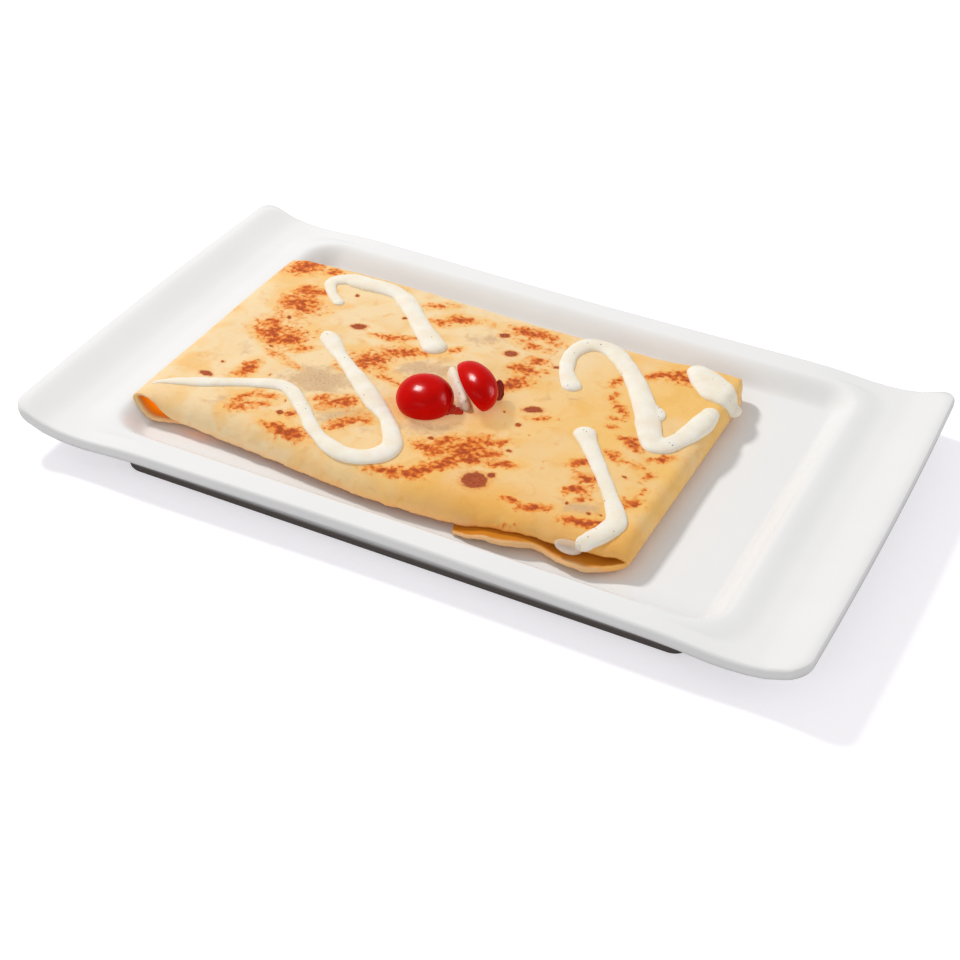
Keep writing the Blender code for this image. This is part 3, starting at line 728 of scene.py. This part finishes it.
def strokeRings(name, stops):
    route = smoothRoute([Vector(stop) for stop in stops], sauce["step"])
    rings = []
    for index, stop in enumerate(route):
        before, after = route[max(index - 1, 0)], route[min(index + 1, len(route) - 1)]
        along = Vector((after.x - before.x, after.y - before.y, 0.0)).normalized()
        sideways = Vector((-along.y, along.x, 0.0))
        wave = sauce["widthWave"] * noise.noise(Vector((stop.x / 6, stop.y / 6, 0.5)))
        halfWidth = stop.z * (1.0 + wave)
        height = min(halfWidth * sauce["height"], sauce["heightLimit"])
        if name == "knot":
            height = sauce["knotHeight"]
        sizes = [(0.0, 1.0)]
        if index == 0:
            sizes = [(-ahead, size) for ahead, size in sauce["ends"]] + sizes
        if index == len(route) - 1:
            sizes += [(ahead, size) for ahead, size in reversed(sauce["ends"])]
        for ahead, size in sizes:
            middle = Vector((stop.x, stop.y, 0.0)) + along * ahead * halfWidth * sauce["endReach"]
            ring = []
            for side in range(sauce["sides"]):
                angle = 2 * math.pi * side / sauce["sides"]
                spot = middle + sideways * math.cos(angle) * halfWidth * size
                level = topCurl(stop.x, stop.y) * 0.5 + topCurl(spot.x, spot.y) * 0.5
                ring.append(Vector((spot.x, spot.y, level + math.sin(angle) * height * size)))
            rings.append(ring)
    return rings


def makeDrizzle():
    bm = bmesh.new()
    for name, stops in sauce["strokes"].items():
        skinRings(bm, strokeRings(name, stops))
    piece = newPiece("drizzle", bm, [sauceFinish()], ["crepe"])
    remesh = piece.modifiers.new("one body", "REMESH")
    remesh.mode = "VOXEL"
    remesh.voxel_size = sauce["voxel"] * mm
    bpy.context.view_layer.update()
    depsgraph = bpy.context.evaluated_depsgraph_get()
    joined = bpy.data.meshes.new_from_object(piece.evaluated_get(depsgraph))
    piece.modifiers.remove(remesh)
    bm = bmesh.new()
    bm.from_mesh(joined)
    for step in range(sauce["smoothing"]):
        bmesh.ops.smooth_vert(bm, verts=bm.verts, factor=0.5,
                              use_axis_x=True, use_axis_y=True, use_axis_z=True)
    bm.to_mesh(joined)
    tree = BVHTree.FromBMesh(bm)
    bm.free()
    joined.shade_smooth()
    piece.data = joined
    print("drizzle made", len(joined.polygons))
    return tree


# Thin drop: the watery end of a stroke, which runs over the front edge
thinDrop = {
    "centre": (59.4, -62.3, 14.2),
    "size": (5.0, 2.4, 3.6),
    "heading": 4,
    "lean": 34,
    "uneven": 0.12,
    "colours": [(0.88, 0.78, 0.66), (0.94, 0.90, 0.85)],
}


def thinDropFinish():
    finish = Finish("thinSauce", 0.2, softBody(0.3, (1.0, 0.75, 0.45), 0.25))
    finish.set("Alpha", 0.4 + 0.5 * finish.smooth(finish.axis("Z"), 0.0168, 0.0125))    # clearer at its top
    finish.set("Base Color", finish.mix(finish.noise(3, 2), *thinDrop["colours"]))
    finish.set("Roughness", 0.28 + 0.1 * finish.noise(1.5, 2))
    return finish


def makeThinDrop():
    bm = bmesh.new()
    made = bmesh.ops.create_icosphere(bm, subdivisions=4, radius=1.0)["verts"]
    for vert in made:
        vert.co *= 1.0 + thinDrop["uneven"] * noise.noise(vert.co * 1.1 + Vector((3.0, 1.0, 0.0)))
    bmesh.ops.scale(bm, verts=made, vec=thinDrop["size"])
    turn = Matrix.Rotation(math.radians(thinDrop["heading"]), 4, "Z")
    turn @= Matrix.Rotation(math.radians(thinDrop["lean"]), 4, "X")
    bmesh.ops.transform(bm, verts=made, matrix=Matrix.Translation(thinDrop["centre"]) @ turn)
    newPiece("thinDrop", bm, [thinDropFinish()], ["crepe"])
    print("thin drop made")


# Flecks: dried herb on the sauce
fleck = {
    "count": 46,
    "seed": 11,
    "scatter": 0.7,         # how far from the middle of a stroke, as a share of its half width
    "radius": (0.16, 0.3),
    "length": (0.9, 1.6),
    "colours": [(0.05, 0.06, 0.02), (0.16, 0.12, 0.05)],
}


def fleckFinish():
    finish = Finish("driedHerb", 0.7)
    finish.set("Base Color", finish.mix(finish.noise(1.5), *fleck["colours"]))
    return finish


def makeFlecks(tree):
    draw = random.Random(fleck["seed"])
    scatter = fleck["scatter"]
    routes = [smoothRoute([Vector(stop) for stop in stops], 2.0) for stops in sauce["strokes"].values()]
    bm = bmesh.new()
    while len(bm.verts) < fleck["count"] * 12:
        stop = draw.choice(draw.choice(routes))
        x = stop.x + draw.uniform(-scatter, scatter) * stop.z
        y = stop.y + draw.uniform(-scatter, scatter) * stop.z
        hit, normal = tree.ray_cast(Vector((x * mm, y * mm, 0.1)), Vector((0, 0, -1)))[:2]
        if hit is None:
            continue
        made = bmesh.ops.create_icosphere(bm, subdivisions=1, radius=draw.uniform(*fleck["radius"]))["verts"]
        bmesh.ops.scale(bm, verts=made, vec=(draw.uniform(*fleck["length"]), 0.7, 0.3))
        lean = normal.to_track_quat("Z", "Y").to_matrix().to_4x4()
        lean @= Matrix.Rotation(draw.uniform(0, 6.3), 4, "Z")
        bmesh.ops.transform(bm, verts=made, matrix=Matrix.Translation(hit / mm) @ lean)
    newPiece("herbFlecks", bm, [fleckFinish()], ["crepe"])
    print("flecks made")


# Cherry tomato, cut in two
tomato = {
    "rightPlace": (-5.2, -6.0),
    "rightLift": 5.9,
    "rightRadius": 8.2,
    "rightReach": 12.4,
    "rightHeading": -40.0,
    "rightPole": (0.65, 0.40, 0.64),
    "rightExtra": 1.0,      # how much more than half is left of it
    "leftLift": 3.2,
    "leftHeading": 16.0,
    "leftBulge": 0.7,
    "segments": (72, 44),
    "uneven": 0.012,
    "skin": 0.9,
    "hollow": 0.7,          # of the flesh inside its rim of skin
    # lumps of wet pulp as x, y, lift and radius
    "pulp": [(-9.2, -16.4, 1.4, 2.0), (-7.4, -15.8, 1.0, 1.6), (-6.0, -15.4, 0.7, 1.1),
             (-10.2, -18.2, 1.0, 1.4)],
    "skinColours": [(0.50, 0.0006, 0.0004), (0.72, 0.003, 0.0006)],
    "fleshColours": [(0.44, 0.008, 0.005), (0.62, 0.05, 0.022)],
}


def tomatoFinish():
    finish = Finish("tomatoSkin", 0.2, softBody(0.08, (1.0, 0.05, 0.02), 0.06))
    finish.set("Base Color", finish.mix(finish.noise(6, 2), *tomato["skinColours"]))
    finish.set("Roughness", 0.16 + 0.1 * finish.noise(1.2, 2))
    finish.relief(finish.noise(4, 2) + 0.1 * finish.noise(0.5, 2), 0.05)
    return finish


def fleshFinish():
    finish = Finish("tomatoFlesh", 0.25, softBody(0.3, (1.0, 0.25, 0.12), 0.2))
    finish.set("Base Color", finish.mix(finish.noise(2.2, 3), *tomato["fleshColours"]))
    finish.relief(finish.noise(1.1, 3), 0.15)
    return finish


def makeHalf(name, node, centre, size, heading, pole, extra):
    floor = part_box(node)[0].z / mm
    around, alongside = tomato["segments"]
    bm = bmesh.new()
    bmesh.ops.create_uvsphere(bm, u_segments=around, v_segments=alongside, radius=1.0)
    for vert in bm.verts:
        vert.co *= 1.0 + tomato["uneven"] * noise.noise(vert.co * 1.6)
    bmesh.ops.scale(bm, verts=bm.verts, vec=size)
    turn = Matrix.Rotation(math.radians(heading), 4, "Z") @ Matrix.Rotation(math.radians(90), 4, "Y")
    bmesh.ops.transform(bm, verts=bm.verts, matrix=Matrix.Translation(centre) @ turn)
    # the knife's cut, which shows a rim of skin, and the flat that it rests on
    cuts = [(centre - pole * extra, -pole, tomato["skin"]), (Vector((0, 0, floor)), Vector((0, 0, -1)), 0)]
    for point, normal, inset in cuts:
        geometry = list(bm.verts) + list(bm.edges) + list(bm.faces)
        cut = bmesh.ops.bisect_plane(bm, geom=geometry, dist=1e-5, plane_co=point, plane_no=normal,
                                     clear_outer=True)["geom_cut"]
        edges = [item for item in cut if isinstance(item, bmesh.types.BMEdge)]
        faces = bmesh.ops.contextual_create(bm, geom=edges)["faces"]
        if inset:
            bmesh.ops.inset_region(bm, faces=faces, thickness=inset, depth=0.0)
            for face in faces:
                face.material_index = 1
            bmesh.ops.inset_region(bm, faces=faces, thickness=inset, depth=-tomato["hollow"])
    bmesh.ops.remove_doubles(bm, verts=bm.verts, dist=1e-4)
    bmesh.ops.recalc_face_normals(bm, faces=bm.faces)
    newPiece(name, bm, [tomatoFinish(), fleshFinish()], [node])


# Stem scar: the torn ring where the stalk came off, with curled bits of skin round it
scar = {
    "place": (3.3, -2.1, 24.6),
    "facing": (1.0, 0.10, 0.20),
    "radius": 3.1,
    "bead": 0.8,
    "beadSides": 10,
    "ringSteps": 28,
    "ringTear": 0.28,
    "curls": 5,
    "curlTurn": 1.25,
    "coreTear": 0.5,
    "seed": 4,
    "colours": [(0.08, 0.0012, 0.0012), (0.40, 0.006, 0.004)],
}


def scarFinish():
    finish = Finish("stemScar", 0.35, {"Specular IOR Level": 0.08})
    finish.set("Base Color", finish.mix(finish.noise(0.9), *scar["colours"]))
    finish.relief(finish.noise(0.9, 2), 0.3)
    return finish


def makeScar():
    draw = random.Random(scar["seed"])
    bm = bmesh.new()
    facing = Vector(scar["facing"]).normalized()
    lean = Matrix.Translation(scar["place"]) @ facing.to_track_quat("Z", "Y").to_matrix().to_4x4()
    ring = bmesh.ops.create_circle(bm, segments=scar["beadSides"], radius=scar["bead"])["verts"]
    bmesh.ops.rotate(bm, verts=ring, cent=(0, 0, 0), matrix=Matrix.Rotation(math.radians(90), 3, "X"))
    bmesh.ops.translate(bm, verts=ring, vec=(scar["radius"], 0, 0))
    edges = list(bm.edges)
    bmesh.ops.spin(bm, geom=ring + edges, cent=(0, 0, 0), axis=(0, 0, 1), angle=2 * math.pi,
                   steps=scar["ringSteps"], use_merge=True)
    for vert in bm.verts:
        vert.co += scar["ringTear"] * noise.noise_vector(vert.co * 0.9)
    for turn in range(scar["curls"]):
        made = bmesh.ops.create_icosphere(bm, subdivisions=2, radius=0.5)["verts"]
        bmesh.ops.scale(bm, verts=made, vec=(0.8, draw.uniform(1.4, 2.4), 0.5))
        place = Matrix.Rotation(turn * scar["curlTurn"] + draw.uniform(-0.2, 0.2), 4, "Z")
        place @= Matrix.Translation((scar["radius"] * 0.75, 0, 0.3))
        place @= Matrix.Rotation(draw.uniform(0.2, 1.0), 4, "Y")
        bmesh.ops.transform(bm, verts=made, matrix=place)
    core = bmesh.ops.create_icosphere(bm, subdivisions=3, radius=scar["radius"])["verts"]
    bmesh.ops.scale(bm, verts=core, vec=(1.0, 1.0, 0.3))
    for vert in core:
        vert.co += scar["coreTear"] * noise.noise_vector(vert.co * 0.8)
    bmesh.ops.remove_doubles(bm, verts=bm.verts, dist=1e-4)
    bmesh.ops.recalc_face_normals(bm, faces=bm.faces)
    bmesh.ops.transform(bm, verts=bm.verts, matrix=lean)
    newPiece("stemScar", bm, [scarFinish()], ["tomato_right"])


def makePulp():
    # wet pulp that hangs out of the left half
    bm = bmesh.new()
    for x, y, lift, size in tomato["pulp"]:
        made = bmesh.ops.create_icosphere(bm, subdivisions=3, radius=size)["verts"]
        level = topCurl(x, y) + lift
        for vert in made:
            vert.co += Vector((x, y, level)) + 0.35 * noise.noise_vector(vert.co * 0.8)
    newPiece("tomatoPulp", bm, [fleshFinish()], ["tomato_left"])


def makeTomato():
    low, high = (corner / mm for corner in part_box("tomato_left"))
    radius = (high.x - low.x) / 2
    centre = Vector(((low.x + high.x) / 2, (low.y + high.y) / 2, low.z + tomato["leftLift"]))
    size = (radius - tomato["leftLift"] + tomato["leftBulge"], radius, radius)
    makeHalf("tomatoLeftHalf", "tomato_left", centre, size, tomato["leftHeading"],
             Vector((0, 0, 1)), tomato["leftLift"])
    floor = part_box("tomato_right")[0].z / mm
    centre = Vector((*tomato["rightPlace"], floor + tomato["rightLift"]))
    size = (tomato["rightRadius"], tomato["rightRadius"], tomato["rightReach"])
    makeHalf("tomatoRightHalf", "tomato_right", centre, size, tomato["rightHeading"],
             Vector(tomato["rightPole"]).normalized(), tomato["rightExtra"])
    makeScar()
    makePulp()
    print("tomato halves made")


# Stage: floor, lights and camera, in metres
warm, cool = (1.0, 0.985, 0.96), (0.98, 0.98, 1.0)
keyFrom = (-0.66, 0.25, 0.70)
stage = {
    "floorRadius": 12.0,
    "floorDrop": 0.0001,
    "floorGlow": 0.555,
    "floorColours": [(0.59, 0.58, 0.60), (0.61, 0.60, 0.62)],
    "skyLight": 0.47,
    "lens": 71.15,
    "azimuth": 25.065,
    "elevation": 36.479,
    "roll": 2.251,
    "cameraPlace": (0.24559, -0.5339, 0.41516),
    "target": (0.0, 0.0, 0.02),
    "tomatoes": ("tomatoLeftHalf", "tomatoRightHalf", "stemScar", "tomatoPulp"),
    "skins": ("tomatoLeftHalf", "tomatoRightHalf"),
    # direction, distance, size, watts and colour
    "lamps": {
        "key": (keyFrom, 1.8, (0.2, 0.2), 8.0, warm),
        "keyThrough": (keyFrom, 1.8, (0.2, 0.2), 12.0, warm),
        "window": ((0.85, 0.45, 0.40), 1.6, (0.8, 1.2), 4.0, cool),
        "fill": ((0.0, -0.9, 0.45), 1.2, (0.9, 0.3), 2.0, warm),
        "gleam": ((-0.42, 0.07, 0.90), 1.2, (0.36, 0.36), 70.0, warm),
        "sheen": ((0.84, 0.51, 0.14), 1.0, (0.5, 0.9), 19.0, cool),
    },
}


def makeFloor():
    bm = bmesh.new()
    bmesh.ops.create_circle(bm, cap_ends=True, segments=96, radius=stage["floorRadius"])
    bmesh.ops.translate(bm, verts=bm.verts, vec=(0, 0, -stage["floorDrop"]))
    mesh = bpy.data.meshes.new("floor")
    bm.to_mesh(mesh)
    bm.free()
    finish = Finish("paleFloor", 0.9, {"Emission Color": (0.98, 0.965, 1.0, 1), "Specular IOR Level": 0.1,
                                       "Emission Strength": stage["floorGlow"]})
    finish.set("Base Color", finish.mix(finish.noise(300), *stage["floorColours"]))
    mesh.materials.append(finish.material)
    floor = bpy.data.objects.new("floor", mesh)
    bpy.context.scene.collection.objects.link(floor)
    alone = bpy.data.collections.new("floorAlone")      # its glow lights nothing but itself
    alone.objects.link(floor)
    floor.light_linking.receiver_collection = alone


def gather(name, pieces, state):
    # a collection that takes pieces out of a light's shadow casters, or makes it light them alone
    made = bpy.data.collections.new(name)
    for piece in pieces:
        made.objects.link(bpy.data.objects[piece])
    for entry in made.collection_objects:
        entry.light_linking.link_state = state
    return made


def makeLight(name, towards, distance, size, power, colour):
    lamp = bpy.data.lights.new(name, "AREA")
    lamp.shape = "RECTANGLE"
    lamp.size, lamp.size_y = size
    lamp.energy = power
    lamp.color = colour
    made = bpy.data.objects.new(name, lamp)
    direction = Vector(towards).normalized()
    made.location = Vector(stage["target"]) + direction * distance
    made.rotation_euler = direction.to_track_quat("Z", "Y").to_euler()
    bpy.context.scene.collection.objects.link(made)
    return made


def makeLights():
    lamps = {name: makeLight(name, *settings) for name, settings in stage["lamps"].items()}
    for name in ("key", "keyThrough"):
        lamps[name].visible_glossy = False
    lamps["keyThrough"].light_linking.blocker_collection = gather("clear", stage["tomatoes"], "EXCLUDE")
    skins = gather("skins", stage["skins"], "INCLUDE")
    for name in ("gleam", "sheen"):
        lamps[name].light_linking.receiver_collection = skins
        lamps[name].visible_diffuse = False


def makeSky():
    world = bpy.data.worlds.new("studio")
    world.use_nodes = True
    sky = world.node_tree.nodes["Background"]
    sky.inputs["Color"].default_value = (1.0, 1.0, 1.0, 1.0)
    sky.inputs["Strength"].default_value = stage["skyLight"]
    bpy.context.scene.world = world
    bpy.context.scene.view_settings.view_transform = "Standard"


def makeCamera():
    data = bpy.data.cameras.new("camera")
    data.lens = stage["lens"]
    data.clip_start, data.clip_end = 0.01, 60
    camera = bpy.data.objects.new("camera", data)
    turn = Matrix.Rotation(math.radians(stage["azimuth"]), 4, "Z")
    turn @= Matrix.Rotation(math.radians(90 - stage["elevation"]), 4, "X")
    turn @= Matrix.Rotation(math.radians(stage["roll"]), 4, "Z")
    camera.matrix_world = Matrix.Translation(stage["cameraPlace"]) @ turn
    bpy.context.scene.collection.objects.link(camera)
    bpy.context.scene.camera = camera


makePlatter()
makeCrepe()
makeFlecks(makeDrizzle())
makeThinDrop()
makeTomato()
makeFloor()
makeLights()
makeSky()
makeCamera()
print("stage made")
